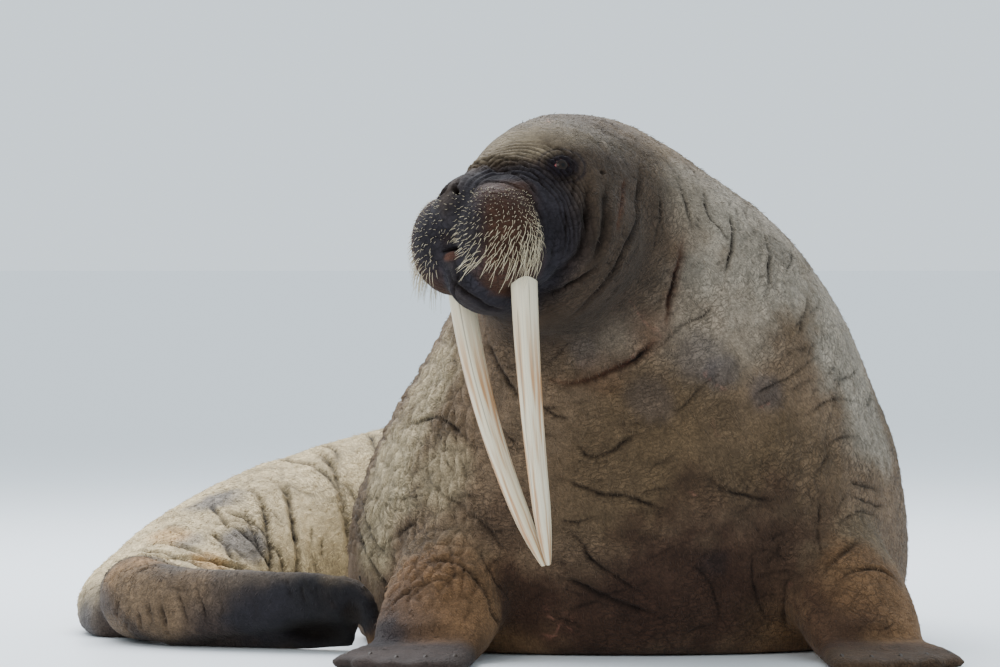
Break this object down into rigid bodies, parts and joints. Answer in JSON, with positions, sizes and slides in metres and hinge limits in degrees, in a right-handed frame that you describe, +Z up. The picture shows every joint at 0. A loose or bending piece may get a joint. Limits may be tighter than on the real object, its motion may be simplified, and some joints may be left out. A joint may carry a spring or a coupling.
{
  "type": "walrus",
  "caption": "Life-size walrus bull, sitting up with its head turned and its hindquarters curled round it, as a still display model that rests on the floor.",
  "frame": {"origin": "on the floor, on the flat under the chest, just behind its front edge", "axes": "+Z up, -Y the way that the chest faces, +X to the animal's left"},
  "size_m": [1.8271, 1.9568, 1.0942],
  "materials": {
    "hide": "matte, coarse folded hide with a short flat coat",
    "dark_hide": "matte to satin, nearly bare dark hide",
    "pale_hide": "matte, pale cream-brown coat with grey patches",
    "ivory": "satin ivory with fine cracks along it",
    "eye": "wet gloss"
  },
  "bodies": {
    "root": {"belly": "pale_hide", "chest": "hide", "eye_left": "eye", "eye_right": "eye", "foreflipper_left": "hide", "foreflipper_right": "hide", "head": "hide", "hindflipper_left": "pale_hide", "hindflipper_right": "dark_hide", "hindquarters": "pale_hide", "lower_jaw": "dark_hide", "neck": "hide", "nose": "dark_hide", "tail": "pale_hide", "tusk_left": "ivory", "tusk_right": "ivory", "whisker_pad_left": "dark_hide", "whisker_pad_right": "dark_hide"}
  },
  "joints": []
}
